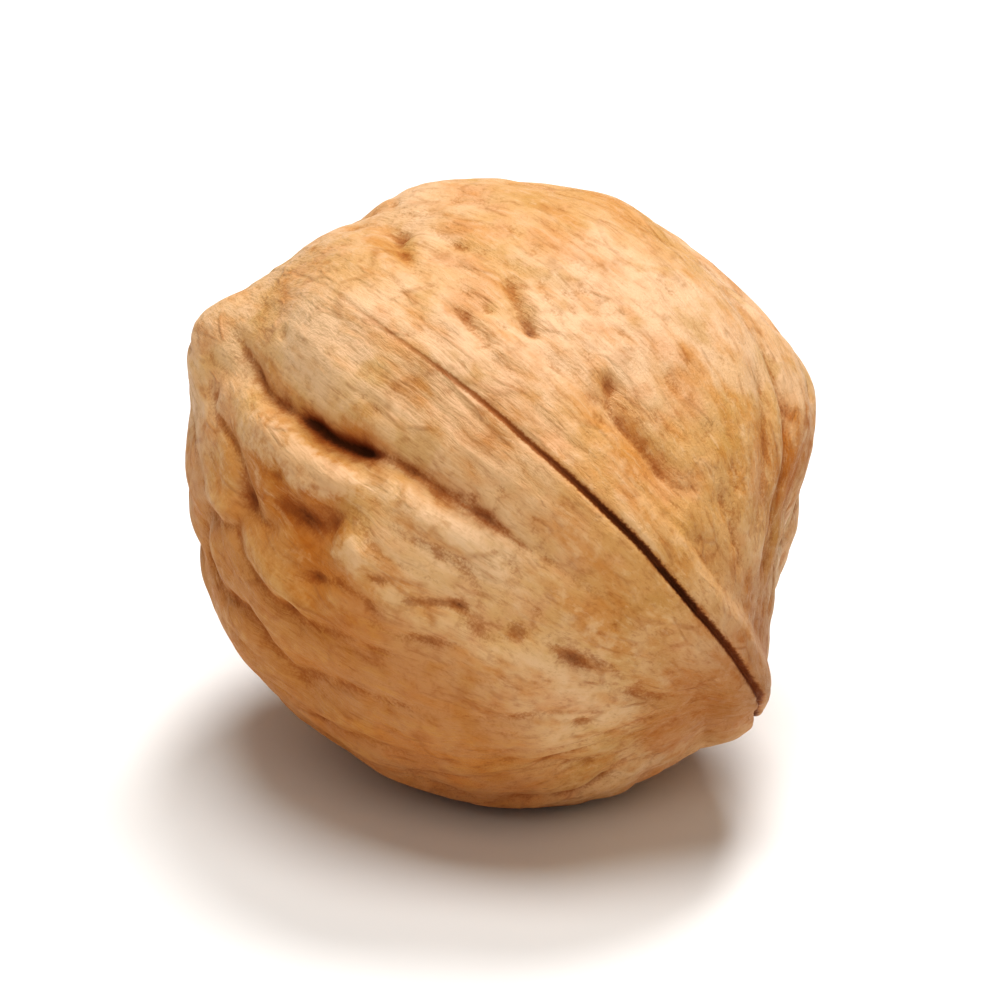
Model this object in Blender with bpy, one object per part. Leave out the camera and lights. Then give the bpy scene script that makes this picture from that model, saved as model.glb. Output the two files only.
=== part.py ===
"""A walnut in its closed shell, lying on a table: one solid, in metres, +Z up.

The surface is worked out in the nut's own axes and then turned into the pose in which it lies:
    x  from the middle of the nut out to the seam that faces up and forwards
    y  square to the suture, out to the left cheek
    z  the long axis, from the stem end to the apex
A place on the shell is given as two angles in degrees: along, round the suture from the forward
seam (-90 at the stem end, 90 at the apex), and across, off the suture (90 at the left cheek).
"""

import math
import random

import bmesh
import bpy
import numpy as np
from mathutils import noise

MM = 0.001

# The plain form
LENGTH = 41.0 * MM  # stem end to the root of the apex point
CHEEK_WIDTH = 38.0 * MM  # across both halves, square to the suture
SUTURE_WIDTH = 34.4 * MM  # in the suture plane, without the band
BOXINESS_STEM = 1.95  # exponent of the form at each end: 2 is an ellipsoid, more is squarer
BOXINESS_APEX = 2.14

# The pose: where the nut's middle is, and how its axes lie
CENTRE = (0.25 * MM, 0.19 * MM, 18.15 * MM)
VIEW_ELEVATION = math.radians(27)  # the forward seam is set out as seen from this height
SEAM_SLOPE = math.radians(-38.4)  # of the long axis, seen from there
APEX_TILT = math.radians(25.6)  # of the apex, towards there
SEAM_ROLL = math.radians(10.6)  # of the forward seam, towards the right cheek
FLAT_BLEND = 0.25 * MM  # how gently the flat spot runs into the round of the shell

# Broad swellings and hollows that make the outline uneven, as place, height and spread
SWELLS = (
    ((-67, -17), -0.75 * MM, 3.2 * MM),
    ((-60, -34), 0.35 * MM, 4.0 * MM),
    ((-67, 15), 2.15 * MM, 3.6 * MM),
    ((-35, -66), 0.30 * MM, 4.5 * MM),
    ((5, -74), -0.30 * MM, 4.5 * MM),
    ((86, -58), 0.55 * MM, 4.0 * MM),
    ((103, -40), -0.75 * MM, 4.2 * MM),
    ((114, -24), -1.70 * MM, 6.5 * MM),
    ((92, -24), -1.90 * MM, 6.0 * MM),
    ((92, 24), -1.20 * MM, 6.0 * MM),
    ((166, 27), 0.90 * MM, 5.0 * MM),
    ((140, 42), -0.35 * MM, 4.0 * MM),
    ((-2, 8), -0.22 * MM, 2.6 * MM),
    ((-35, 9), 0.30 * MM, 4.2 * MM),
    ((24, 31), 0.30 * MM, 4.4 * MM),
    ((15, 31), 0.45 * MM, 2.8 * MM),
    ((21, 42), 0.35 * MM, 3.6 * MM),
    ((-30, 45), -0.55 * MM, 2.4 * MM),
    ((46, 40), -0.45 * MM, 4.0 * MM),
    ((150, -40), -0.50 * MM, 5.0 * MM),
    ((190, 35), 0.45 * MM, 5.0 * MM),
    ((215, -30), 0.45 * MM, 5.0 * MM),
)

# The suture
BAND_HALF_WIDTH = 5.2 * MM
BAND_TAPER = (0.95, -0.25, -0.30)  # share of that width: a polynomial of -1 at the stem end, 1 at the apex
BAND_SLOPE = (0.55, 1.25)  # shares of its half width between which its side comes down
BAND_UNEVENNESS = 0.3
BAND_WAVES = 11.0 * MM
BAND_HEIGHT = 0.70 * MM
BAND_AT_STEM = 0.35  # share of its height left at the stem end
STEM_REACH = (-0.95, -0.30)  # where it grows to its full height
LIP_HALF_WIDTH = 1.5 * MM
LIP_HEIGHT = 0.24 * MM
SEAM_HALF_WIDTH = 0.30 * MM
SEAM_DEPTH = 0.55 * MM
SEAM_WANDER = 0.25 * MM
SEAM_WAVES = 9.0 * MM
SEAM_AT_STEM = 0.35  # share of its depth left towards the stem end
SEAM_OPENS = (-0.4, 0.8)  # where it grows to its full depth

# The two ends
END_REACH = (0.3, 0.6)  # shares of the half length between which their relief starts
POINT_HEIGHT = 1.0 * MM
POINT_SPREAD = (2.6 * MM, 1.7 * MM)  # along the suture, and across it
KEEL_HEIGHT = 0.6 * MM
KEEL_SPREAD = (7.0 * MM, 2.4 * MM)
HOLLOW_DEPTH = 0.8 * MM
HOLLOW_RADIUS = 5.0 * MM
RIM_HEIGHT = 0.35 * MM
RIM_RADIUS = 3.0 * MM
RIM_HALF_WIDTH = 0.9 * MM
SCAR_RADIUS = 1.9 * MM
SCAR_DEPTH = 0.7 * MM

# Furrows and folds that can be told apart, each as its path, its depth or height, and its half width
FURROWS = (
    (((-63, 10), (-46, 19), (-36, 23), (-20, 24), (-5, 22), (7, 19), (20, 17), (38, 14), (58, 9)),
     0.66 * MM, 0.80 * MM),
    (((-26, 24), (-12, 24), (2, 21)), 0.80 * MM, 0.80 * MM),
    (((-24, 41), (-14, 41), (-4, 39), (5, 34)), 0.85 * MM, 1.20 * MM),
    (((-44, 42), (-34, 43), (-23, 46), (-12, 46)), 0.50 * MM, 0.90 * MM),
    (((-6, 51), (2, 49), (10, 45), (20, 44), (30, 47)), 0.45 * MM, 0.80 * MM),
    (((24, 41), (32, 35), (39, 29)), 0.40 * MM, 0.60 * MM),
    (((-12, -13), (-5, -12), (1, -11), (6, -10)), 0.55 * MM, 0.60 * MM),
    (((-10, -27), (-2, -23), (4, -20), (9, -18)), 0.45 * MM, 0.60 * MM),
    (((24, -23), (30, -18), (36, -16), (44, -14), (54, -13)), 0.60 * MM, 0.75 * MM),
    (((-42, -20), (-32, -16), (-22, -13), (-12, -12)), 0.30 * MM, 0.60 * MM),
    (((52, -52), (60, -40), (67, -26), (73, -13)), 0.50 * MM, 0.90 * MM),
    (((66, -58), (72, -40), (76, -24), (81, -11)), 0.55 * MM, 0.90 * MM),
    (((50, 24), (60, 22), (72, 18), (82, 12)), 0.60 * MM, 0.80 * MM),
)
FOLDS = (
    (((-55, 22), (-40, 28), (-28, 30), (-18, 30), (-8, 29), (3, 27), (16, 24), (30, 21), (46, 16)),
     0.60 * MM, 1.35 * MM),
    (((-25, 37), (-16, 35), (-8, 32), (-1, 28), (6, 26)), 0.36 * MM, 0.75 * MM),
    (((2, 39), (8, 37), (16, 36)), 0.32 * MM, 0.90 * MM),
    (((-58, 40), (-46, 47), (-32, 51), (-16, 54), (0, 56), (16, 55)), 0.48 * MM, 1.10 * MM),
)
NARROWING = 0.4  # share of its width that a furrow or fold loses at its two ends

# Relief that covers the shell: wavelengths are those of smooth noise
LUMPS = (
    # wavelength, shift of the noise, height
    (13.0 * MM, 2.2, 0.50 * MM),
    (6.0 * MM, 4.4, 0.34 * MM),
)
CREASES = (
    # wavelength, shift of the noise, width as a share of the noise's height, depth
    (6.5 * MM, 7.7, 0.11, 0.48 * MM),
    (4.2 * MM, 15.1, 0.15, 0.26 * MM),
)
WAVER_LENGTH = 4.5 * MM
WAVER = 0.7 * MM  # how far the edges of the relief stray
CALM = 0.35  # share of that waver in the furrows and folds that can be told apart
END_TO_END = 0.36  # noise is drawn out along the nut by this factor
VEIN_DEPTH = 0.55 * MM
VEIN_HALF_WIDTH = 0.75 * MM
VEIN_TURNS = range(60, 171, 17)  # degrees round the long axis from the forward seam
VEIN_STARTS = (-62, -30)  # degrees of height, least and most
VEIN_ENDS = (25, 62)
VEIN_LEAN = 9  # degrees, most
VEIN_STRAY = 4
DENT_DEPTH = 0.60 * MM
DENT_SIZES = (0.45 * MM, 1.0 * MM)
DENTS_A_HALF = 52
DENT_ROUND = (-60, 250)  # degrees along the suture, least and most
DENT_ACROSS = (13, 14, 70)  # degrees: the least, the mean beyond that, and the most
DENT_LENGTH = 1.6  # length along the nut as a share of width
DENT_FREE = (
    # place, how many degrees round it stay without dents
    ((-8, 39), 11),
    ((17, 47), 7),
    ((-41, 20), 9),
    ((-4, 21), 6),
    ((20, 15), 6),
)
SMOOTH_PLACE = (8, -44)  # the smoothest part of the shell
SMOOTH_SPREAD = 38
SMOOTH_SHARE = 0.72
BAND_CLEAR = (2.0 * MM, 7.0 * MM)  # off the seam, where the covering relief starts and is full
SEED = 20

# The mesh: steps from edge to edge of each side of the cube that it starts from
STEPS_ACROSS = 43
STEPS_ALONG = 26
CROWDING = 0.42  # spacing of the rows at the seam, as a share of an even spacing

HALF = np.array([SUTURE_WIDTH, CHEEK_WIDTH, LENGTH]) / 2


def clear_scene():
    for obj in list(bpy.data.objects):
        bpy.data.objects.remove(obj)


def rise(x, low, high):
    """0 below low, 1 above high, and smooth between."""
    t = np.clip((x - low) / (high - low), 0, 1)
    return t * t * (3 - 2 * t)


def direction(along, across):
    """Unit vector to a place given in degrees."""
    along, across = np.radians(along), np.radians(across)
    return np.array([np.cos(across) * np.cos(along), np.sin(across), np.cos(across) * np.sin(along)])


def plain_form(directions):
    """Points of the nut without its relief: an ellipsoid that is squarer towards the apex."""
    toward_apex = (1 + directions[:, 2]) / 2
    boxiness = (BOXINESS_STEM + (BOXINESS_APEX - BOXINESS_STEM) * toward_apex)[:, None]
    reach = (np.abs(directions / HALF) ** boxiness).sum(axis=1, keepdims=True) ** (-1 / boxiness)
    return directions * reach


def smooth_noise(points, wavelength, shift):
    """Noise of about -0.7 to 0.7, the same each run."""
    return np.array([noise.noise(p) for p in points / wavelength + shift])


def drawn_out(points):
    """Places for noise that runs from end to end: its lines gather towards the two ends of the nut."""
    girth = np.hypot(points[:, 0], points[:, 1])
    gather = np.sqrt(HALF[0] / np.maximum(girth, 0.05 * HALF[0]))
    return points * np.column_stack([gather, gather, np.full(len(points), END_TO_END)])


def smooth_path(places, steps=4):
    """Points on the plain form along a Catmull-Rom curve through places given in degrees."""
    knots = np.array([places[0], *places, places[-1]], float)
    ends = []
    for a, b, c, d in zip(knots, knots[1:], knots[2:], knots[3:]):
        for t in np.arange(steps) / steps:
            ends.append(0.5 * (2 * b + (c - a) * t + (2 * a - 5 * b + 4 * c - d) * t**2
                               + (3 * b - a - 3 * c + d) * t**3))
    ends.append(knots[-1])
    return plain_form(np.array([direction(*end) for end in ends]))


def beside(points, path):
    """Each point's distance from a path, and how much of the path lies before its nearest place, 0 to 1."""
    gap = np.full(len(points), np.inf)
    share = np.zeros(len(points))
    for i, (a, b) in enumerate(zip(path, path[1:])):
        run = b - a
        t = np.clip((points - a) @ run / (run @ run), 0, 1)
        distance = np.linalg.norm(points - a - t[:, None] * run, axis=1)
        nearer = distance < gap
        gap[nearer] = distance[nearer]
        share[nearer] = (i + t[nearer]) / (len(path) - 1)
    return gap, share


def stroke(points, path, half_width, sharpness=1.5):
    """1 on a path, 0 away from it and at its two ends, towards which it narrows."""
    near = np.linalg.norm(points - path.mean(axis=0), axis=1) < np.ptp(path, axis=0).max() + 6 * half_width
    gap, share = beside(points[near], path)
    fade = rise(share, 0, 0.25) * rise(1 - share, 0, 0.25)
    strokes = np.zeros(len(points))
    strokes[near] = fade * np.exp(-((gap / (half_width * (1 - NARROWING * (1 - fade)))) ** sharpness))
    return strokes


def off_seam(points):
    """Distance from the seam, which wanders a little off the suture plane."""
    return np.abs(points[:, 1] - SEAM_WANDER * smooth_noise(points * [1, 0, 1], SEAM_WAVES, 3.1))


def seam_opening(toward_apex):
    """Share of its full depth that the seam has, from -1 at the stem end to 1 at the apex."""
    return SEAM_AT_STEM + (1 - SEAM_AT_STEM) * rise(toward_apex, *SEAM_OPENS)


def suture_relief(points):
    """The raised band round the nut, its two lips and the seam between them."""
    off, toward_apex = off_seam(points), points[:, 2] / HALF[2]
    uneven = 1 + BAND_UNEVENNESS * smooth_noise(points, BAND_WAVES, 8.7)
    edge = BAND_HALF_WIDTH * uneven * np.polynomial.polynomial.polyval(toward_apex, BAND_TAPER)
    side = 1 - rise(off, BAND_SLOPE[0] * edge, BAND_SLOPE[1] * edge)
    strength = BAND_AT_STEM + (1 - BAND_AT_STEM) * rise(toward_apex, *STEM_REACH)
    lips = LIP_HEIGHT * np.exp(-((off / LIP_HALF_WIDTH) ** 2))
    opening = seam_opening(toward_apex)
    seam = SEAM_DEPTH * opening * np.exp(-((off / (SEAM_HALF_WIDTH * (0.7 + 0.5 * opening))) ** 1.6))
    return strength * (BAND_HEIGHT * side + lips) - seam


def end_relief(points):
    """The pointed apex with its keel, and the hollow and scar at the stem end."""
    x, y, z = points.T
    at_apex = rise(z / HALF[2], *END_REACH)
    at_stem = rise(-z / HALF[2], *END_REACH)
    point = POINT_HEIGHT * np.exp(-np.hypot(x / POINT_SPREAD[0], y / POINT_SPREAD[1]))
    keel = KEEL_HEIGHT * np.exp(-((x / KEEL_SPREAD[0]) ** 2) - (y / KEEL_SPREAD[1]) ** 2)
    girth = np.hypot(x, 1.25 * y)
    hollow = HOLLOW_DEPTH * np.exp(-((girth / HOLLOW_RADIUS) ** 2))
    rim = RIM_HEIGHT * np.exp(-(((girth - RIM_RADIUS) / RIM_HALF_WIDTH) ** 2))
    scar = SCAR_DEPTH * np.exp(-((girth / SCAR_RADIUS) ** 4))
    return at_apex * (point + keel) + at_stem * (rim - hollow - scar)


def vein_paths():
    """Long shallow furrows from the stem end towards the apex, away from the forward seam's own ones."""
    draw = random.Random(SEED)
    paths = []
    for side in (-1, 1):
        for turn in VEIN_TURNS:
            lean = draw.uniform(-VEIN_LEAN, VEIN_LEAN)
            start, end = draw.uniform(*VEIN_STARTS), draw.uniform(*VEIN_ENDS)
            places = []
            for share in (0, 0.2, 0.4, 0.6, 0.8, 1):
                height = math.radians(start + (end - start) * share)
                stray = draw.uniform(-VEIN_STRAY, VEIN_STRAY)
                round_axis = math.radians(side * (turn + lean * share + stray))
                girth = math.cos(height)
                places.append((girth * math.cos(round_axis), girth * math.sin(round_axis), math.sin(height)))
            paths.append(plain_form(np.array(places)))
    return paths


def dent_places():
    """Dents beside the band and over the cheeks, as direction, size and share of the full depth."""
    draw = random.Random(SEED + 1)
    least, mean, most = DENT_ACROSS
    dents = []
    for side in (-1, 1):
        for _ in range(DENTS_A_HALF):
            along = draw.uniform(*DENT_ROUND)
            across = side * min(least + draw.expovariate(1 / mean), most)
            dents.append((direction(along, across), draw.uniform(*DENT_SIZES), draw.uniform(0.3, 1)))
    for place, reach in DENT_FREE:
        dents = [dent for dent in dents if dent[0] @ direction(*place) < math.cos(math.radians(reach))]
    return dents


def hollows(points, places, depth, lengthening):
    """Round hollows, drawn out along the nut, at places given as direction, size and share of depth."""
    found = np.zeros(len(points))
    for toward, size, share in places:
        away = points - plain_form(toward[None, :])
        near = np.abs(away).max(axis=1) < 4 * size * lengthening
        distance = np.linalg.norm(away[near] * [1, 1, 1 / lengthening], axis=1)
        found[near] = np.maximum(found[near], share * np.exp(-((distance / size) ** 1.8)))
    return depth * found


def crease_relief(points):
    """Winding grooves that run from end to end, each deeper in some places than in others."""
    grain = drawn_out(points)
    creases = np.zeros(len(points))
    for wavelength, shift, width, depth in CREASES:
        line = np.exp(-((smooth_noise(grain, wavelength, shift) / width) ** 2))
        strength = 0.35 + 0.65 * rise(smooth_noise(points, 8 * MM, shift + 1), -0.25, 0.3)
        creases += depth * strength * line
    return creases


def roughness_of(points):
    """1 where the shell is rugged, less round its smoothest place."""
    toward_smooth = points @ direction(*SMOOTH_PLACE) / np.linalg.norm(points, axis=1)
    turned = np.degrees(np.arccos(np.clip(toward_smooth, -1, 1)))
    return 1 - SMOOTH_SHARE * np.exp(-((turned / SMOOTH_SPREAD) ** 2))


def wavering(points):
    """The points moved a little, so that what is drawn at them has uneven edges."""
    shifts = [smooth_noise(points, WAVER_LENGTH, shift) for shift in (1.7, 5.3, 9.9)]
    return points + WAVER * np.column_stack(shifts)


def relief(points):
    """Height of the shell above the plain form, at points of the plain form."""
    waver = wavering(points)
    calm = points + CALM * (waver - points)
    rough = roughness_of(points)
    off_band = rise(np.abs(points[:, 1]), *BAND_CLEAR)

    height = suture_relief(points) + end_relief(points)
    for place, tall, spread in SWELLS:
        away = np.linalg.norm(points - plain_form(direction(*place)[None, :]), axis=1)
        height += tall * np.exp(-((away / spread) ** 2))
    for wavelength, shift, tall in LUMPS:
        height += tall * (0.4 + 0.6 * rough) * smooth_noise(points, wavelength, shift)
    dents = hollows(waver, dent_places(), DENT_DEPTH, DENT_LENGTH)
    height -= rough * off_band * (crease_relief(waver) + dents)
    for path in vein_paths():
        height -= VEIN_DEPTH * rough * stroke(waver, path, VEIN_HALF_WIDTH)
    for places, depth, half_width in FURROWS:
        height -= depth * stroke(calm, smooth_path(places), half_width)
    for places, tall, half_width in FOLDS:
        height += tall * stroke(calm, smooth_path(places), half_width, 2)
    return height


def pose():
    """Matrix whose columns are the nut's axes in the frame of the part."""
    right = np.array([1.0, 0, 0])
    up = np.array([0, math.sin(VIEW_ELEVATION), math.cos(VIEW_ELEVATION)])
    toward = np.array([0, -math.cos(VIEW_ELEVATION), math.sin(VIEW_ELEVATION)])
    in_view = math.cos(SEAM_SLOPE) * right + math.sin(SEAM_SLOPE) * up
    apex = math.cos(APEX_TILT) * in_view + math.sin(APEX_TILT) * toward
    front = toward - apex * (toward @ apex)
    front /= np.linalg.norm(front)
    seam = math.cos(SEAM_ROLL) * front + math.sin(SEAM_ROLL) * np.cross(front, apex)
    return np.column_stack([seam, np.cross(apex, seam), apex])


def laid_down(points):
    """Points of the nut in the part's frame, with the small flat spot that it rests on."""
    points = points @ pose().T + CENTRE
    z = points[:, 2]
    bent = np.maximum(z + FLAT_BLEND, 0) ** 2 / (4 * FLAT_BLEND)
    points[:, 2] = np.where(z > FLAT_BLEND, z, bent)
    return points


def cube_lattice():
    """A cube of quads, with as many steps along each axis as the surface needs there."""
    bm = bmesh.new()
    bmesh.ops.create_cube(bm, size=2)
    for axis, steps in enumerate((STEPS_ALONG, STEPS_ACROSS, STEPS_ALONG)):
        uncut = [edge for edge in bm.edges if abs((edge.verts[1].co - edge.verts[0].co)[axis]) > 1]
        bmesh.ops.subdivide_edges(bm, edges=uncut, cuts=steps - 1, use_grid_fill=True)
    return bm


def shell_mesh():
    """The lattice drawn onto the nut, its rows crowded towards the seam."""
    bm = cube_lattice()
    cube = np.array([vert.co for vert in bm.verts], float)
    cube[:, 1] *= CROWDING + (1 - CROWDING) * cube[:, 1] ** 2
    directions = np.tan(cube * math.pi / 4)
    directions /= np.linalg.norm(directions, axis=1, keepdims=True)
    points = plain_form(directions)
    outward = points / HALF**2
    outward /= np.linalg.norm(outward, axis=1, keepdims=True)
    for vert, place in zip(bm.verts, laid_down(points + outward * relief(points)[:, None])):
        vert.co = place
    bmesh.ops.triangulate(bm, faces=bm.faces)
    bmesh.ops.recalc_face_normals(bm, faces=bm.faces)
    mesh = bpy.data.meshes.new("walnut")
    bm.to_mesh(mesh)
    bm.free()
    mesh.shade_smooth()
    return mesh


def shell_material():
    material = bpy.data.materials.new("walnut_shell")
    material.use_nodes = True
    surface = material.node_tree.nodes["Principled BSDF"]
    surface.inputs["Base Color"].default_value = (0.62, 0.38, 0.18, 1)
    surface.inputs["Roughness"].default_value = 0.6
    surface.inputs["Metallic"].default_value = 0
    return material


def build_walnut():
    walnut = bpy.data.objects.new("walnut", shell_mesh())
    walnut.data.materials.append(shell_material())
    bpy.context.scene.collection.objects.link(walnut)
    return walnut


clear_scene()
build_walnut()
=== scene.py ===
"""The look of the walnut: a fine shell over the solid, its material, a pale floor, light and camera."""

import math
import random

import bmesh
import bpy
import numpy as np
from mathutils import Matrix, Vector, noise


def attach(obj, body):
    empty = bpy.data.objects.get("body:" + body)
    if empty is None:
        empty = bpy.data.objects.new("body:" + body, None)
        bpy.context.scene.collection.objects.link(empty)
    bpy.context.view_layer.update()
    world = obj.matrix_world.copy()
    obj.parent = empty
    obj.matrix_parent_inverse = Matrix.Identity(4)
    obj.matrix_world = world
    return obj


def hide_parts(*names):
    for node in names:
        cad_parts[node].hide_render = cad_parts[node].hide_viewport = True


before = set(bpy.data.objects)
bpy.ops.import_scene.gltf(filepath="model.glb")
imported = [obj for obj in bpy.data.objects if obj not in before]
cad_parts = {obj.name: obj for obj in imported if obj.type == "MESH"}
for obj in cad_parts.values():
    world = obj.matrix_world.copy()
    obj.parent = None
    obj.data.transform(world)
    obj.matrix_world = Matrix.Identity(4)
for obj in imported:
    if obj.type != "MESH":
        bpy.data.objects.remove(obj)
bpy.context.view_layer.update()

MM = 0.001

# The form, with the same values as the solid's source.
# The nut's own axes: x out to the forward seam, y out to the left cheek, z from stem end to apex.
# A place is two angles in degrees: along the suture from the forward seam, and across it.
LENGTH = 41.0 * MM
CHEEK_WIDTH = 38.0 * MM
SUTURE_WIDTH = 34.4 * MM
BOXINESS_STEM = 1.95
BOXINESS_APEX = 2.14
HALF = np.array([SUTURE_WIDTH, CHEEK_WIDTH, LENGTH]) / 2

CENTRE = (0.25 * MM, 0.19 * MM, 18.15 * MM)
VIEW_ELEVATION = math.radians(27)
SEAM_SLOPE = math.radians(-38.4)
APEX_TILT = math.radians(25.6)
SEAM_ROLL = math.radians(10.6)
FLAT_BLEND = 0.25 * MM

SWELLS = (
    # place, height, spread
    ((-67, -17), -0.75 * MM, 3.2 * MM),
    ((-60, -34), 0.35 * MM, 4.0 * MM),
    ((-67, 15), 2.15 * MM, 3.6 * MM),
    ((-35, -66), 0.30 * MM, 4.5 * MM),
    ((5, -74), -0.30 * MM, 4.5 * MM),
    ((86, -58), 0.55 * MM, 4.0 * MM),
    ((103, -40), -0.75 * MM, 4.2 * MM),
    ((114, -24), -1.70 * MM, 6.5 * MM),
    ((92, -24), -1.90 * MM, 6.0 * MM),
    ((92, 24), -1.20 * MM, 6.0 * MM),
    ((166, 27), 0.90 * MM, 5.0 * MM),
    ((140, 42), -0.35 * MM, 4.0 * MM),
    ((-2, 8), -0.22 * MM, 2.6 * MM),
    ((-35, 9), 0.30 * MM, 4.2 * MM),
    ((24, 31), 0.30 * MM, 4.4 * MM),
    ((15, 31), 0.45 * MM, 2.8 * MM),
    ((21, 42), 0.35 * MM, 3.6 * MM),
    ((-30, 45), -0.55 * MM, 2.4 * MM),
    ((46, 40), -0.45 * MM, 4.0 * MM),
    ((150, -40), -0.50 * MM, 5.0 * MM),
    ((190, 35), 0.45 * MM, 5.0 * MM),
    ((215, -30), 0.45 * MM, 5.0 * MM),
)

BAND_HALF_WIDTH = 5.2 * MM
BAND_TAPER = (0.95, -0.25, -0.30)
BAND_SLOPE = (0.55, 1.25)
BAND_UNEVENNESS = 0.3
BAND_WAVES = 11.0 * MM
BAND_HEIGHT = 0.70 * MM
BAND_AT_STEM = 0.35
STEM_REACH = (-0.95, -0.30)
LIP_HALF_WIDTH = 1.5 * MM
LIP_HEIGHT = 0.24 * MM
SEAM_HALF_WIDTH = 0.30 * MM
SEAM_WIDTHS = (0.7, 1.2)  # shares of that half width with the seam closed and open
SEAM_SHARPNESS = 1.6
SEAM_DEPTH = 0.55 * MM
SEAM_WANDER = 0.25 * MM
SEAM_WAVES = 9.0 * MM
SEAM_AT_STEM = 0.35
SEAM_OPENS = (-0.4, 0.8)

END_REACH = (0.3, 0.6)
POINT_HEIGHT = 1.0 * MM
POINT_SPREAD = (2.6 * MM, 1.7 * MM)
KEEL_HEIGHT = 0.6 * MM
KEEL_SPREAD = (7.0 * MM, 2.4 * MM)
HOLLOW_DEPTH = 0.8 * MM
HOLLOW_RADIUS = 5.0 * MM
RIM_HEIGHT = 0.35 * MM
RIM_RADIUS = 3.0 * MM
RIM_HALF_WIDTH = 0.9 * MM
STEM_OVALNESS = 1.25
SCAR_RADIUS = 1.9 * MM
SCAR_DEPTH = 0.7 * MM

FURROWS = (
    # path, depth, half width
    (((-63, 10), (-46, 19), (-36, 23), (-20, 24), (-5, 22), (7, 19), (20, 17), (38, 14), (58, 9)),
     0.66 * MM, 0.80 * MM),
    (((-26, 24), (-12, 24), (2, 21)), 0.80 * MM, 0.80 * MM),
    (((-24, 41), (-14, 41), (-4, 39), (5, 34)), 0.85 * MM, 1.20 * MM),
    (((-44, 42), (-34, 43), (-23, 46), (-12, 46)), 0.50 * MM, 0.90 * MM),
    (((-6, 51), (2, 49), (10, 45), (20, 44), (30, 47)), 0.45 * MM, 0.80 * MM),
    (((24, 41), (32, 35), (39, 29)), 0.40 * MM, 0.60 * MM),
    (((-12, -13), (-5, -12), (1, -11), (6, -10)), 0.55 * MM, 0.60 * MM),
    (((-10, -27), (-2, -23), (4, -20), (9, -18)), 0.45 * MM, 0.60 * MM),
    (((24, -23), (30, -18), (36, -16), (44, -14), (54, -13)), 0.60 * MM, 0.75 * MM),
    (((-42, -20), (-32, -16), (-22, -13), (-12, -12)), 0.30 * MM, 0.60 * MM),
    (((52, -52), (60, -40), (67, -26), (73, -13)), 0.50 * MM, 0.90 * MM),
    (((66, -58), (72, -40), (76, -24), (81, -11)), 0.55 * MM, 0.90 * MM),
    (((50, 24), (60, 22), (72, 18), (82, 12)), 0.60 * MM, 0.80 * MM),
)
FOLDS = (
    # path, height, half width
    (((-55, 22), (-40, 28), (-28, 30), (-18, 30), (-8, 29), (3, 27), (16, 24), (30, 21), (46, 16)),
     0.60 * MM, 1.35 * MM),
    (((-25, 37), (-16, 35), (-8, 32), (-1, 28), (6, 26)), 0.36 * MM, 0.75 * MM),
    (((2, 39), (8, 37), (16, 36)), 0.32 * MM, 0.90 * MM),
    (((-58, 40), (-46, 47), (-32, 51), (-16, 54), (0, 56), (16, 55)), 0.48 * MM, 1.10 * MM),
)
NARROWING = 0.4  # share of its width that a furrow, fold or line loses at its two ends
FADING = 0.25  # share of its length over which each of its ends fades

LUMPS = (
    # wavelength, shift of the noise, height
    (13.0 * MM, 2.2, 0.50 * MM),
    (6.0 * MM, 4.4, 0.34 * MM),
)
LUMPS_LEAST = 0.4  # share of them that doesn't go by how rugged the shell is
CREASES = (
    # wavelength, shift of the noise, width as a share of the noise's height, depth
    (6.5 * MM, 7.7, 0.11, 0.48 * MM),
    (4.2 * MM, 15.1, 0.15, 0.26 * MM),
)
CREASE_LEAST = 0.35  # share of its depth that a crease keeps where it is faint
CREASE_CHANGES = 8.0 * MM
WAVER_LENGTH = 4.5 * MM
WAVER = 0.7 * MM
CALM = 0.35  # share of that waver in the furrows and folds that can be told apart
END_TO_END = 0.36
VEIN_DEPTH = 0.55 * MM
VEIN_HALF_WIDTH = 0.75 * MM
VEIN_TURNS = range(60, 171, 17)
VEIN_STARTS = (-62, -30)
VEIN_ENDS = (25, 62)
VEIN_LEAN = 9
VEIN_STRAY = 4
DENT_DEPTH = 0.60 * MM
DENT_SIZES = (0.45 * MM, 1.0 * MM)
DENTS_A_HALF = 52
DENT_ROUND = (-60, 250)
DENT_ACROSS = (13, 14, 70)  # least, mean beyond it, and most
DENT_SHARES = (0.3, 1)
DENT_LENGTH = 1.6
DENT_FREE = (
    # place, how many degrees round it stay without dents
    ((-8, 39), 11),
    ((17, 47), 7),
    ((-41, 20), 9),
    ((-4, 21), 6),
    ((20, 15), 6),
)
SMOOTH_PLACE = (8, -44)
SMOOTH_SPREAD = 38
SMOOTH_SHARE = 0.72
BAND_CLEAR = (2.0 * MM, 7.0 * MM)
SEED = 20

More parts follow.
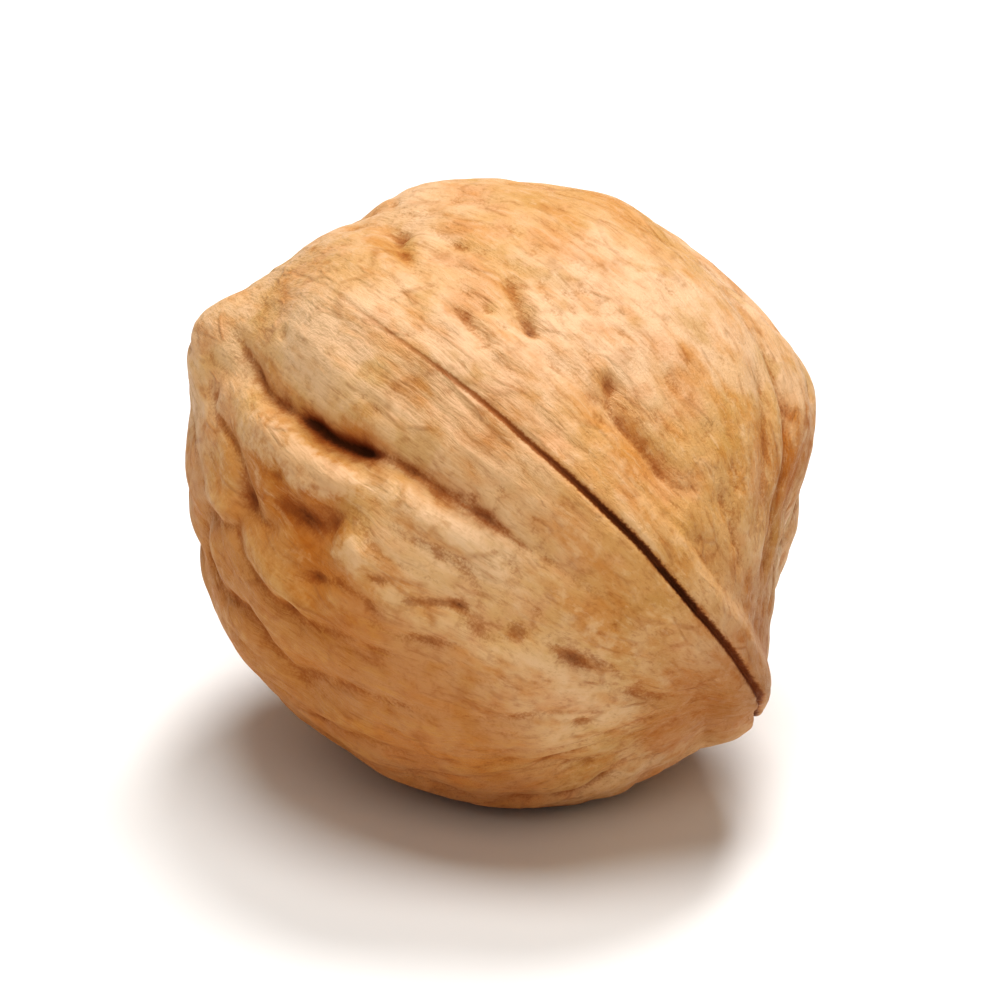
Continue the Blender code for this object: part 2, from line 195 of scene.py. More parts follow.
# Fine relief that only this shell has
LINES = (
    # path, depth, half width
    (((-60, 11), (-46, 19), (-36, 23), (-26, 24), (-16, 24)), 0.26 * MM, 0.34 * MM),
    (((-14, 23), (-4, 22), (2, 21), (8, 19), (16, 18)), 0.28 * MM, 0.34 * MM),
    (((4, 20), (20, 18), (38, 14), (60, 8)), 0.12 * MM, 0.40 * MM),
    (((-25, 24), (-17, 24), (-9, 23), (-2, 22)), 0.70 * MM, 0.60 * MM),
    (((-6, 5), (3, 6), (14, 7), (24, 7)), 0.12 * MM, 0.24 * MM),
    (((-8, 1), (1, 1), (7, 2), (14, 3), (24, 3)), 0.12 * MM, 0.22 * MM),
    (((-14, -5), (-2, -8), (6, -8), (12, -9), (20, -12)), 0.13 * MM, 0.32 * MM),
    (((-25, 40), (-19, 35), (-12, 32), (-5, 31)), 0.26 * MM, 0.34 * MM),
    (((9, 37), (15, 32), (21, 29), (29, 26)), 0.07 * MM, 0.30 * MM),
    (((18, 42), (26, 48)), 0.14 * MM, 0.32 * MM),
    (((-13, -13), (-5, -12), (1, -10), (7, -9)), 0.20 * MM, 0.34 * MM),
    (((-10, -28), (-2, -22), (3, -20), (9, -18)), 0.18 * MM, 0.34 * MM),
    (((24, -23), (28, -18), (34, -16), (42, -14), (56, -12)), 0.22 * MM, 0.38 * MM),
    (((-44, -21), (-38, -18), (-28, -14), (-18, -12)), 0.14 * MM, 0.32 * MM),
    (((40, -8), (50, -8), (60, -7)), 0.14 * MM, 0.28 * MM),
    (((38, -11), (47, -11), (58, -10)), 0.16 * MM, 0.30 * MM),
    (((25, 40), (31, 36), (38, 29)), 0.24 * MM, 0.30 * MM),
)
NAMED_PITS = (
    # place, size, share of the pits' depth
    ((7, -19), 0.50 * MM, 1.6),
    ((27, -21), 0.50 * MM, 1.5),
    ((20, -22), 0.40 * MM, 1.1),
    ((26, -16), 0.34 * MM, 0.9),
    ((2, -28), 0.45 * MM, 0.9),
    ((-5, -12), 0.42 * MM, 0.8),
    ((-10, -34), 0.38 * MM, 0.7),
    ((22, -49), 0.40 * MM, 0.7),
    ((32, 50), 0.50 * MM, 1.3),
    ((3, 48), 0.50 * MM, 1.3),
)
FINE_WRINKLES = (
    # wavelength across the grain, shift of the noise, height
    (2.4 * MM, 21.3, 0.090 * MM),
    (1.2 * MM, 33.9, 0.050 * MM),
)
FINE_BUMPS = (
    (2.0 * MM, 41.7, 0.070 * MM),
    (0.9 * MM, 52.2, 0.035 * MM),
)
FINE_LEAST = 0.5  # share of the wrinkles, bumps and net that doesn't go by how rugged the shell is
BAND_LINES = 0.06 * MM
BAND_LINE_LENGTHS = (10 * MM, 0.8 * MM)
BAND_LINES_END = (3.0 * MM, 8.0 * MM)
NET_CELL = 3.6 * MM  # across the grain
NET_LINE = 0.18  # width of its lines as a share of a cell
NET_DEPTH = 0.17 * MM
NET_CHANGES = 6.0 * MM
PITS = 420
PIT_ROUND = (-85, 265)
PIT_ACROSS = (8, 22, 85)  # least, mean beyond it, and most
PIT_SIZES = (0.16 * MM, 0.50 * MM)
PIT_SHARES = (0.2, 1)
PIT_DEPTH = 0.24 * MM
PIT_LENGTH = 1.6

FINE_SEAM = 0.66  # width of the seam as a share of the solid's
SHALLOW_SEAM = 0.35  # its depth at the stem end as a share of the solid's
SEAM_DEEPENS = (-0.2, 0.8)  # where, from -1 at the stem end to 1 at the apex

# What the shell's colour goes by
SEAM_LINE = (0.08 * MM, 0.17 * MM)  # half width of the seam's dark line, closed, and what opening adds
BAND_COLOUR_ENDS = (3.0 * MM, 7.5 * MM)
TINGES = (
    # place, how much paler or, below 0, browner, spread
    ((-34, 7), 0.50, 5.0 * MM),
    ((19, 31), 0.75, 4.2 * MM),
    ((33, 17), 0.85, 4.2 * MM),
    ((-30, 34), -0.65, 3.2 * MM),
    ((-6, 37), -0.90, 3.8 * MM),
    ((14, 46), -0.60, 4.5 * MM),
    ((-2, 9), -0.35, 3.5 * MM),
    ((17, 3), -0.60, 3.0 * MM),
    # Painted shade: these two darken the right flank as if it lay in shade.
    ((71, -32), -0.50, 5.5 * MM),
    ((84, -42), -0.60, 4.5 * MM),
)

# The mesh
STEPS_ACROSS = 168  # from cheek to cheek
STEPS_ALONG = 108  # along the two other axes
CROWDING = 0.42  # how close the rows beside the seam are, as a share of even spacing
SEAM_LEADS = (1.0 * MM, 5.0 * MM)  # off the suture plane, where the rows begin and end to leave the seam
SOFTENING = 0.8  # share of one round of smoothing that takes the teeth off thin creases
SOFTENED = (0.6 * MM, 1.2 * MM)  # from the seam, where that begins and is full
CRACK_ROUNDS = 6  # rounds of smoothing that tell cracks and pits from what is round them
HOLLOW_ROUNDS = 60  # the same for hollows and crests
CRACK_FULL = 0.10 * MM  # depth that counts as 1
HOLLOW_FULL = 0.35 * MM


def rise(x, low, high):
    """0 below low, 1 above high, and smooth between."""
    t = np.clip((x - low) / (high - low), 0, 1)
    return t * t * (3 - 2 * t)


def at_least(least, share):
    """A share of 0 to 1, turned into least to 1."""
    return least + (1 - least) * share


def direction(along, across):
    """Unit vector to a place given in degrees."""
    along, across = np.radians(along), np.radians(across)
    return np.array([np.cos(across) * np.cos(along), np.sin(across), np.cos(across) * np.sin(along)])


def plain_form(directions):
    """Points of the nut without its relief: an ellipsoid that is squarer towards the apex."""
    toward_apex = (1 + directions[:, 2]) / 2
    boxiness = (BOXINESS_STEM + (BOXINESS_APEX - BOXINESS_STEM) * toward_apex)[:, None]
    reach = (np.abs(directions / HALF) ** boxiness).sum(axis=1, keepdims=True) ** (-1 / boxiness)
    return directions * reach


def smooth_noise(points, wavelength, shift):
    """Noise of about -0.7 to 0.7, the same each run."""
    return np.array([noise.noise(p) for p in points / wavelength + shift])


def drawn_out(points):
    """Places for noise that runs from end to end: its lines gather towards the two ends of the nut."""
    girth = np.hypot(points[:, 0], points[:, 1])
    gather = np.sqrt(HALF[0] / np.maximum(girth, 0.05 * HALF[0]))
    return points * np.column_stack([gather, gather, np.full(len(points), END_TO_END)])


def smooth_path(places, steps=4):
    """Points on the plain form along a Catmull-Rom curve through places given in degrees."""
    knots = np.array([places[0], *places, places[-1]], float)
    ends = []
    for a, b, c, d in zip(knots, knots[1:], knots[2:], knots[3:]):
        for t in np.arange(steps) / steps:
            ends.append(0.5 * (2 * b + (c - a) * t + (2 * a - 5 * b + 4 * c - d) * t**2
                               + (3 * b - a - 3 * c + d) * t**3))
    ends.append(knots[-1])
    return plain_form(np.array([direction(*end) for end in ends]))


def beside(points, path):
    """Each point's distance from a path, and how much of the path lies before its nearest place, 0 to 1."""
    gap = np.full(len(points), np.inf)
    share = np.zeros(len(points))
    for i, (a, b) in enumerate(zip(path, path[1:])):
        run = b - a
        t = np.clip((points - a) @ run / (run @ run), 0, 1)
        distance = np.linalg.norm(points - a - t[:, None] * run, axis=1)
        nearer = distance < gap
        gap[nearer] = distance[nearer]
        share[nearer] = (i + t[nearer]) / (len(path) - 1)
    return gap, share


def stroke(points, path, half_width, sharpness=1.5):
    """1 on a path, 0 away from it and at its two ends, towards which it narrows."""
    near = np.linalg.norm(points - path.mean(axis=0), axis=1) < np.ptp(path, axis=0).max() + 6 * half_width
    gap, share = beside(points[near], path)
    fade = rise(share, 0, FADING) * rise(1 - share, 0, FADING)
    strokes = np.zeros(len(points))
    strokes[near] = fade * np.exp(-((gap / (half_width * (1 - NARROWING * (1 - fade)))) ** sharpness))
    return strokes


def seam_wander(points):
    """How far the seam lies off the suture plane."""
    return SEAM_WANDER * smooth_noise(points * [1, 0, 1], SEAM_WAVES, 3.1)


def off_seam(points):
    """Distance from the seam."""
    return np.abs(points[:, 1] - seam_wander(points))


def seam_opening(toward_apex):
    """Share of its full depth that the seam has at a place from -1, the stem end, to 1, the apex."""
    return at_least(SEAM_AT_STEM, rise(toward_apex, *SEAM_OPENS))


def seam_groove(off, opening):
    """1 on the seam and 0 beside it, wider where it opens."""
    closed, opened = SEAM_WIDTHS
    half_width = SEAM_HALF_WIDTH * (closed + (opened - closed) * opening)
    return np.exp(-((off / half_width) ** SEAM_SHARPNESS))


def suture_relief(points):
    """The raised band round the nut, its two lips and the seam between them."""
    off, toward_apex = off_seam(points), points[:, 2] / HALF[2]
    uneven = 1 + BAND_UNEVENNESS * smooth_noise(points, BAND_WAVES, 8.7)
    edge = BAND_HALF_WIDTH * uneven * np.polynomial.polynomial.polyval(toward_apex, BAND_TAPER)
    side = 1 - rise(off, BAND_SLOPE[0] * edge, BAND_SLOPE[1] * edge)
    strength = at_least(BAND_AT_STEM, rise(toward_apex, *STEM_REACH))
    lips = LIP_HEIGHT * np.exp(-((off / LIP_HALF_WIDTH) ** 2))
    opening = seam_opening(toward_apex)
    return strength * (BAND_HEIGHT * side + lips) - SEAM_DEPTH * opening * seam_groove(off, opening)


def end_relief(points):
    """The pointed apex with its keel, and the hollow and scar at the stem end."""
    x, y, z = points.T
    at_apex = rise(z / HALF[2], *END_REACH)
    at_stem = rise(-z / HALF[2], *END_REACH)
    point = POINT_HEIGHT * np.exp(-np.hypot(x / POINT_SPREAD[0], y / POINT_SPREAD[1]))
    keel = KEEL_HEIGHT * np.exp(-((x / KEEL_SPREAD[0]) ** 2) - (y / KEEL_SPREAD[1]) ** 2)
    girth = np.hypot(x, STEM_OVALNESS * y)
    hollow = HOLLOW_DEPTH * np.exp(-((girth / HOLLOW_RADIUS) ** 2))
    rim = RIM_HEIGHT * np.exp(-(((girth - RIM_RADIUS) / RIM_HALF_WIDTH) ** 2))
    scar = SCAR_DEPTH * np.exp(-((girth / SCAR_RADIUS) ** 4))
    return at_apex * (point + keel) + at_stem * (rim - hollow - scar)


def vein_paths():
    """Long shallow furrows from the stem end towards the apex, away from the forward seam's own ones."""
    draw = random.Random(SEED)
    paths = []
    for side in (-1, 1):
        for turn in VEIN_TURNS:
            lean = draw.uniform(-VEIN_LEAN, VEIN_LEAN)
            start, end = draw.uniform(*VEIN_STARTS), draw.uniform(*VEIN_ENDS)
            places = []
            for share in (0, 0.2, 0.4, 0.6, 0.8, 1):
                height = math.radians(start + (end - start) * share)
                stray = draw.uniform(-VEIN_STRAY, VEIN_STRAY)
                round_axis = math.radians(side * (turn + lean * share + stray))
                girth = math.cos(height)
                place = (girth * math.cos(round_axis), girth * math.sin(round_axis), math.sin(height))
                places.append(place)
            paths.append(plain_form(np.array(places)))
    return paths


def dent_places():
    """Dents beside the band and over the cheeks, as direction, size and share of the full depth."""
    draw = random.Random(SEED + 1)
    least, mean, most = DENT_ACROSS
    dents = []
    for side in (-1, 1):
        for _ in range(DENTS_A_HALF):
            along = draw.uniform(*DENT_ROUND)
            across = side * min(least + draw.expovariate(1 / mean), most)
            dents.append((direction(along, across), draw.uniform(*DENT_SIZES), draw.uniform(*DENT_SHARES)))
    for place, reach in DENT_FREE:
        dents = [dent for dent in dents if dent[0] @ direction(*place) < math.cos(math.radians(reach))]
    return dents


def pit_places():
    """Small pits all over, most of them beside the band, as direction, size and share of the full depth."""
    draw = random.Random(SEED + 2)
    least, mean, most = PIT_ACROSS
    pits = [(direction(*place), size, share) for place, size, share in NAMED_PITS]
    for _ in range(PITS):
        across = draw.choice((-1, 1)) * min(least + draw.expovariate(1 / mean), most)
        toward = direction(draw.uniform(*PIT_ROUND), across)
        pits.append((toward, draw.uniform(*PIT_SIZES), draw.uniform(*PIT_SHARES)))
    return pits


def hollows(points, places, depth, lengthening):
    """Round hollows, drawn out along the nut, at places given as direction, size and share of depth."""
    found = np.zeros(len(points))
    for toward, size, share in places:
        away = points - plain_form(toward[None, :])
        near = np.abs(away).max(axis=1) < 4 * size * lengthening
        distance = np.linalg.norm(away[near] * [1, 1, 1 / lengthening], axis=1)
        found[near] = np.maximum(found[near], share * np.exp(-((distance / size) ** 1.8)))
    return depth * found


def crease_relief(points):
    """Winding grooves that run from end to end, each deeper in some places than in others."""
    grain = drawn_out(points)
    creases = np.zeros(len(points))
    for wavelength, shift, width, depth in CREASES:
        line = np.exp(-((smooth_noise(grain, wavelength, shift) / width) ** 2))
        strong = rise(smooth_noise(points, CREASE_CHANGES, shift + 1), -0.25, 0.3)
        creases += depth * at_least(CREASE_LEAST, strong) * line
    return creases


def net_relief(points):
    """A net of thin veins, its cells drawn out from end to end, clear in some places only."""
    cells = drawn_out(points) / NET_CELL
    nearest = np.array([noise.voronoi(p)[0][:2] for p in cells])
    line = np.exp(-(((nearest[:, 1] - nearest[:, 0]) / NET_LINE) ** 1.5))
    return NET_DEPTH * line * rise(smooth_noise(points, NET_CHANGES, 73.5), -0.25, 0.35)


def roughness_of(points):
    """1 where the shell is rugged, less round its smoothest place."""
    toward_smooth = points @ direction(*SMOOTH_PLACE) / np.linalg.norm(points, axis=1)
    turned = np.degrees(np.arccos(np.clip(toward_smooth, -1, 1)))
    return 1 - SMOOTH_SHARE * np.exp(-((turned / SMOOTH_SPREAD) ** 2))


def round_spots(points, spots):
    """Sum of smooth round spots, each given as its place, its strength and its spread."""
    total = np.zeros(len(points))
    for place, strength, spread in spots:
        away = np.linalg.norm(points - plain_form(direction(*place)[None, :]), axis=1)
        total += strength * np.exp(-((away / spread) ** 2))
    return total


def wavering(points):
    """The points moved a little, so that what is drawn at them has uneven edges."""
    shifts = [smooth_noise(points, WAVER_LENGTH, shift) for shift in (1.7, 5.3, 9.9)]
    return points + WAVER * np.column_stack(shifts)


def relief(points):
    """Height of the shell above the plain form, at points of the plain form."""
    waver = wavering(points)
    calm = points + CALM * (waver - points)
    rough = roughness_of(points)
    off_band = rise(np.abs(points[:, 1]), *BAND_CLEAR)

    height = suture_relief(points) + end_relief(points) + round_spots(points, SWELLS)
    for wavelength, shift, tall in LUMPS:
        height += tall * at_least(LUMPS_LEAST, rough) * smooth_noise(points, wavelength, shift)
    dents = hollows(waver, dent_places(), DENT_DEPTH, DENT_LENGTH)
    height -= rough * off_band * (crease_relief(waver) + dents)
    for path in vein_paths():
        height -= VEIN_DEPTH * rough * stroke(waver, path, VEIN_HALF_WIDTH)
    for places, depth, half_width in FURROWS:
        height -= depth * stroke(calm, smooth_path(places), half_width)
    for places, tall, half_width in FOLDS:
        height += tall * stroke(calm, smooth_path(places), half_width, 2)
    return height


def seam_filling(points):
    """What fills the solid's seam, at its sides and towards the stem end, so that a finer one is left."""
    off, toward_apex = off_seam(points), points[:, 2] / HALF[2]
    opening = seam_opening(toward_apex)
    kept = at_least(SHALLOW_SEAM, rise(toward_apex, *SEAM_DEEPENS))
    finer = kept * seam_groove(off / FINE_SEAM, opening)
    return SEAM_DEPTH * opening * (seam_groove(off, opening) - finer)


def fine_relief(points):
    """Wrinkles, small bumps, fine lines, the net, small pits and the filling of the seam."""
    rough = at_least(FINE_LEAST, roughness_of(points))
    grain = drawn_out(points)
    height = np.zeros(len(points))
    for wavelength, shift, tall in FINE_WRINKLES:
        height += rough * tall * smooth_noise(grain, wavelength, shift)
    for wavelength, shift, tall in FINE_BUMPS:
        height += rough * tall * smooth_noise(points, wavelength, shift)
    long_way, short_way = BAND_LINE_LENGTHS
    lines = smooth_noise(points / [long_way, short_way, long_way], 1, 61.4)
    height += BAND_LINES * lines * (1 - rise(np.abs(points[:, 1]), *BAND_LINES_END))
    calm = points + CALM * (wavering(points) - points)
    for places, depth, half_width in LINES:
        height -= depth * stroke(calm, smooth_path(places), half_width)
    height -= rough * net_relief(wavering(points))
    return height + seam_filling(points) - hollows(points, pit_places(), PIT_DEPTH, PIT_LENGTH)


def pose():
    """Matrix whose columns are the nut's axes in the frame of the part."""
    right = np.array([1.0, 0, 0])
    up = np.array([0, math.sin(VIEW_ELEVATION), math.cos(VIEW_ELEVATION)])
    toward = np.array([0, -math.cos(VIEW_ELEVATION), math.sin(VIEW_ELEVATION)])
    in_view = math.cos(SEAM_SLOPE) * right + math.sin(SEAM_SLOPE) * up
    apex = math.cos(APEX_TILT) * in_view + math.sin(APEX_TILT) * toward
    front = toward - apex * (toward @ apex)
    front /= np.linalg.norm(front)
    seam = math.cos(SEAM_ROLL) * front + math.sin(SEAM_ROLL) * np.cross(front, apex)
    return np.column_stack([seam, np.cross(apex, seam), apex])


def laid_down(points):
    """Points of the nut in the part's frame, with the small flat spot that it rests on."""
    points = points @ pose().T + CENTRE
    z = points[:, 2]
    bent = np.maximum(z + FLAT_BLEND, 0) ** 2 / (4 * FLAT_BLEND)
    points[:, 2] = np.where(z > FLAT_BLEND, z, bent)
    return points


def cube_lattice():
    """A cube of quads, with as many steps along each axis as the surface needs there."""
    bm = bmesh.new()
    bmesh.ops.create_cube(bm, size=2)
    for axis, steps in enumerate((STEPS_ALONG, STEPS_ACROSS, STEPS_ALONG)):
        uncut = [edge for edge in bm.edges if abs((edge.verts[1].co - edge.verts[0].co)[axis]) > 1]
        bmesh.ops.subdivide_edges(bm, edges=uncut, cuts=steps - 1, use_grid_fill=True)
    return bm


def smoothed(values, edges, rounds):
    """Values at the vertices, each averaged with its neighbours that many times."""
    count = np.bincount(edges.ravel(), minlength=len(values)) + 1
    for _ in range(rounds):
        total = values.copy()
        total += np.bincount(edges[:, 0], values[edges[:, 1]], len(values))
        total += np.bincount(edges[:, 1], values[edges[:, 0]], len(values))
        values = total / count
    return values


def keep_values(mesh, name, values):
    """Stores one number, or one vector, for each vertex under a name that the material reads."""
    kind, field = ("FLOAT", "value") if values.ndim == 1 else ("FLOAT_VECTOR", "vector")
    attribute = mesh.attributes.new(name, kind, "POINT")
    attribute.data.foreach_set(field, values.astype(np.float32).ravel())


def led_along_seam(points):
    """Points of the plain form, shifted so that the rows beside the suture plane follow the seam."""
    near = 1 - rise(np.abs(points[:, 1]), *SEAM_LEADS)
    shifted = points + (seam_wander(points) * near)[:, None] * [0, 1, 0]
    return plain_form(shifted / np.linalg.norm(shifted, axis=1, keepdims=True))


def keep_colour_values(mesh, points, height, edges):
    """Stores what the colour goes by: cracks and hollows for painted shade, crests for painted highlight,
    the seam and its band, tinges and places.
    """
    around = smoothed(height, edges, CRACK_ROUNDS)
    toward_apex = points[:, 2] / HALF[2]
    closed, opened = SEAM_LINE
    seam_width = closed + opened * seam_opening(toward_apex)
    keep_values(mesh, "crack", (around - height) / CRACK_FULL)
    keep_values(mesh, "hollow", (smoothed(around, edges, HOLLOW_ROUNDS) - around) / HOLLOW_FULL)
    keep_values(mesh, "seam", np.exp(-((off_seam(points) / seam_width) ** 2)))
    keep_values(mesh, "band", 1 - rise(np.abs(points[:, 1]), *BAND_COLOUR_ENDS))
    keep_values(mesh, "toward_apex", toward_apex)
    keep_values(mesh, "tinge", round_spots(wavering(points), TINGES))
    keep_values(mesh, "place", points / MM)
    keep_values(mesh, "grain", drawn_out(points) / MM)


def shell_mesh():
    """The lattice drawn onto the nut, its rows crowded towards the seam."""
    bm = cube_lattice()
    cube = np.array([vert.co for vert in bm.verts], float)
    cube[:, 1] *= at_least(CROWDING, cube[:, 1] ** 2)
    directions = np.tan(cube * math.pi / 4)
    directions /= np.linalg.norm(directions, axis=1, keepdims=True)
    points = led_along_seam(plain_form(directions))
    outward = points / HALF**2
    outward /= np.linalg.norm(outward, axis=1, keepdims=True)
    bm.verts.index_update()
    edges = np.array([[vert.index for vert in edge.verts] for edge in bm.edges])
    height = relief(points) + fine_relief(points)
    softening = SOFTENING * rise(off_seam(points), *SOFTENED)
    height += softening * (smoothed(height, edges, 1) - height)
    for vert, place in zip(bm.verts, laid_down(points + outward * height[:, None])):
        vert.co = place
    bmesh.ops.recalc_face_normals(bm, faces=bm.faces)
    mesh = bpy.data.meshes.new("walnut_shell")
    bm.to_mesh(mesh)
    bm.free()
    mesh.shade_smooth()
    keep_colour_values(mesh, points, height, edges)
    return mesh


class Nodes:
    """Makes the nodes of one material, each with its values and links in one call."""

    def __init__(self, material):
        material.use_nodes = True
        self.tree = material.node_tree
        self.surface = self.tree.nodes["Principled BSDF"]

    def add(self, kind, settings=(), **inputs):
        node = self.tree.nodes.new(kind)
        for name, value in dict(settings).items():
            setattr(node, name, value)
        for name, value in inputs.items():
            self.feed(node.inputs[name], value)
        return node

    def feed(self, socket, value):
        if isinstance(value, bpy.types.NodeSocket):
            self.tree.links.new(value, socket)
        else:
            socket.default_value = value

    def read(self, name, field="Fac"):
        """The number, or with the field Vector the vector, that the mesh keeps under that name."""
        return self.add("ShaderNodeAttribute", {"attribute_name": name}).outputs[field]

    def noise(self, places, scale, detail=3.0, roughness=0.55):
        inputs = {"Vector": places, "Scale": scale, "Detail": detail, "Roughness": roughness}
        return self.add("ShaderNodeTexNoise", **inputs).outputs["Fac"]

    def span(self, value, low, high, to_low=0.0, to_high=1.0):
        """Value from low..high turned into to_low..to_high, and kept inside that."""
        node = self.add("ShaderNodeMapRange", {"interpolation_type": "SMOOTHSTEP"}, Value=value)
        for name, limit in (("From Min", low), ("From Max", high), ("To Min", to_low), ("To Max", to_high)):
            node.inputs[name].default_value = limit
        return node.outputs["Result"]

    def calc(self, operation, *values, kind="ShaderNodeMath"):
        node = self.add(kind, {"operation": operation})
        for socket, value in zip(node.inputs, values):
            self.feed(socket, value)
        return node.outputs[0]

    def blend(self, share, a, b):
        """Colour a where share is 0, b where it is 1."""
        node = self.add("ShaderNodeMix", {"data_type": "RGBA"}, Factor=share)
        self.feed(node.inputs[6], a)
        self.feed(node.inputs[7], b)
        return node.outputs[2]


def colour(*shown):
    """Linear colour from the red, green and blue that a screen shows, 0 to 255."""
    shares = [value / 255 for value in shown]
    linear = [v / 12.92 if v <= 0.04045 else ((v + 0.055) / 1.055) ** 2.4 for v in shares]
    return (*linear, 1.0)


# PALE also paints highlight on crests; BROWN and DARK also paint shade in hollows, cracks and pits.
PALE = colour(229, 190, 149)
OCHRE = colour(204, 147, 74)
TAN = colour(209, 160, 105)
PINKISH = colour(212, 154, 110)
OLIVE = colour(186, 140, 74)
WARM = colour(196, 126, 56)
# CHEEK_BROWN: the left cheek's browner colour, partly painted shade; also painted shade on the right flank.
CHEEK_BROWN = colour(177, 106, 33)
BROWN = colour(148, 82, 30)
DARK = colour(84, 40, 12)
SEAM_DARK = colour(86, 42, 9)

CHEEK_EDGE = (8, 17)  # mm off the suture plane
FIBRE_STRETCH = (1, 1, 0.3)
DULLNESS = (0.45, 0.64)
CRACK_DULLNESS = 0.2
GLOSS = 0.2
BUMP_STRENGTH = 0.9
BUMP_DISTANCE = 0.14 * MM


class ShellNodes(Nodes):
    """The nodes of the shell, with the patterns that its colour and its surface share."""

    def __init__(self, material):
        super().__init__(material)
        self.place, self.grain = self.read("place", "Vector"), self.read("grain", "Vector")
        self.toward_apex = self.read("toward_apex")
        bend = self.add("ShaderNodeTexNoise", Vector=self.place, Scale=0.22, Detail=2.0).outputs["Color"]
        self.bent = self.calc("ADD", self.grain, bend, kind="ShaderNodeVectorMath")
        fibres = self.calc("MULTIPLY", self.bent, FIBRE_STRETCH, kind="ShaderNodeVectorMath")
        self.patches = self.noise(self.place, 0.10)
        self.streaks = self.noise(self.bent, 0.6, 5, 0.62)
        self.fine_streaks = self.noise(fibres, 2.0, 5, 0.68)
        self.hair_streaks = self.noise(fibres, 6.0, 3, 0.6)
        self.mottle = self.noise(self.place, 1.1, 5, 0.65)
        self.grit = self.noise(self.place, 5.5, 3, 0.6)
        # Depth of cracks and pits, for their painted shade and a duller surface.
        self.crack = self.calc("ADD", self.read("crack"), self.span(self.grit, 0.3, 0.7, -0.35, 0.35))
        self.cheek = self.left_cheek()
        # Pale for the crests' painted highlight and for pale streaks, ochre on the left cheek.
        self.crest = self.blend(self.span(self.cheek, 0, 1), PALE, OCHRE)
        self.net = self.vein_net()
        self.flecks = self.dark_flecks()

    def left_cheek(self):
        """Above 0 on the left cheek, with an uneven edge."""
        across = self.add("ShaderNodeSeparateXYZ", Vector=self.place).outputs["Y"]
        uneven = self.span(self.patches, 0.35, 0.65, -0.25, 0.25)
        return self.calc("ADD", self.span(across, *CHEEK_EDGE), uneven)

    def vein_net(self):
        """A net of thin lines, clear in some places only."""
        to_edge = {"feature": "DISTANCE_TO_EDGE"}
        cells = self.add("ShaderNodeTexVoronoi", to_edge, Vector=self.bent, Scale=0.55)
        lines = self.span(cells.outputs["Distance"], 0.01, 0.09, 1, 0)
        return self.calc("MULTIPLY", lines, self.span(self.noise(self.place, 0.5), 0.45, 0.65))

    def dark_flecks(self):
        """Small flecks, in some places only."""
        flecks = self.span(self.noise(self.grain, 1.3, 3, 0.7), 0.68, 0.78)
        return self.calc("MULTIPLY", flecks, self.span(self.noise(self.place, 0.3, 2), 0.48, 0.66))

    def ground_tint(self):
        """Pale, tan, pinkish and olive patches, the left cheek browner, partly its own colour and partly
        painted shade, and the tinged places, two of them painted shade on the right flank.
        """
        hues = self.noise(self.place, 0.26)
        on_band = self.calc("MULTIPLY", self.read("band"), self.span(self.toward_apex, -0.2, 0.5, 0, 0.2))
        tinge = self.calc("MULTIPLY", self.read("tinge"), self.span(self.streaks, 0.35, 0.65, 0.6, 1.3))
        tint = self.blend(self.span(self.patches, 0.38, 0.62), TAN, PALE)
        tint = self.blend(self.span(hues, 0.52, 0.66, 0, 0.55), tint, PINKISH)
        tint = self.blend(self.span(hues, 0.34, 0.46, 0.45, 0), tint, OLIVE)
        # Partly painted shade, partly the shell's own colour: the left cheek, the lower, shaded side,
        # browner.
        tint = self.blend(self.span(self.cheek, 0, 1, 0, 0.7), tint, CHEEK_BROWN)
        tint = self.blend(on_band, tint, WARM)
        tint = self.blend(self.span(tinge, 0, 1), tint, PALE)
        # Negative tinges brown the shell; the two on the right flank are painted shade.
        return self.blend(self.span(tinge, -1, 0, 1, 0), tint, CHEEK_BROWN)

    def streaked(self, tint):
        """The tint with clouds, mottling and streaks from end to end."""
        clouds = self.noise(self.grain, 0.42)
        tint = self.blend(self.span(clouds, 0.5, 0.68, 0, 0.5), tint, WARM)
        tint = self.blend(self.span(self.streaks, 0.5, 0.72, 0, 0.5), tint, WARM)
        tint = self.blend(self.span(self.mottle, 0.52, 0.78, 0, 0.3), tint, BROWN)
        tint = self.blend(self.span(self.fine_streaks, 0.52, 0.72, 0, 0.4), tint, BROWN)
        tint = self.blend(self.span(self.fine_streaks, 0.32, 0.47, 0.35, 0), tint, self.crest)
        return self.blend(self.span(self.hair_streaks, 0.54, 0.7, 0, 0.18), tint, BROWN)

    def deepened(self, tint):
        """The tint with painted highlight on crests, painted shade in hollows, cracks and pits, and the
        line of the seam.
        """
        # Painted highlight on crests and painted shade in hollows, by how far the surface stands above or
        # sinks below its surroundings.
        hollow = self.calc("ADD", self.read("hollow"), self.span(self.mottle, 0.25, 0.75, -0.6, 0.6))
        tint = self.blend(self.span(hollow, -1.3, -0.1, 0.65, 0), tint, self.crest)
        tint = self.blend(self.span(hollow, 0.1, 2.0, 0, 0.75), tint, BROWN)
        # Painted shade in cracks and pits: brown, and dark in the deepest.
        tint = self.blend(self.span(self.crack, 0.15, 1.2, 0, 0.5), tint, BROWN)
        tint = self.blend(self.span(self.crack, 0.9, 3.2, 0, 0.8), tint, DARK)
        line = self.calc("ADD", self.read("seam"), self.span(self.grit, 0.3, 0.7, -0.15, 0.15))
        line = self.span(line, 0.15, 0.75)
        browned = self.calc("MULTIPLY", line, self.span(self.toward_apex, -0.6, 0.3, 0.15, 0.85))
        darkened = self.calc("MULTIPLY", line, self.span(self.toward_apex, 0.1, 0.8, 0, 0.9))
        return self.blend(darkened, self.blend(browned, tint, BROWN), SEAM_DARK)

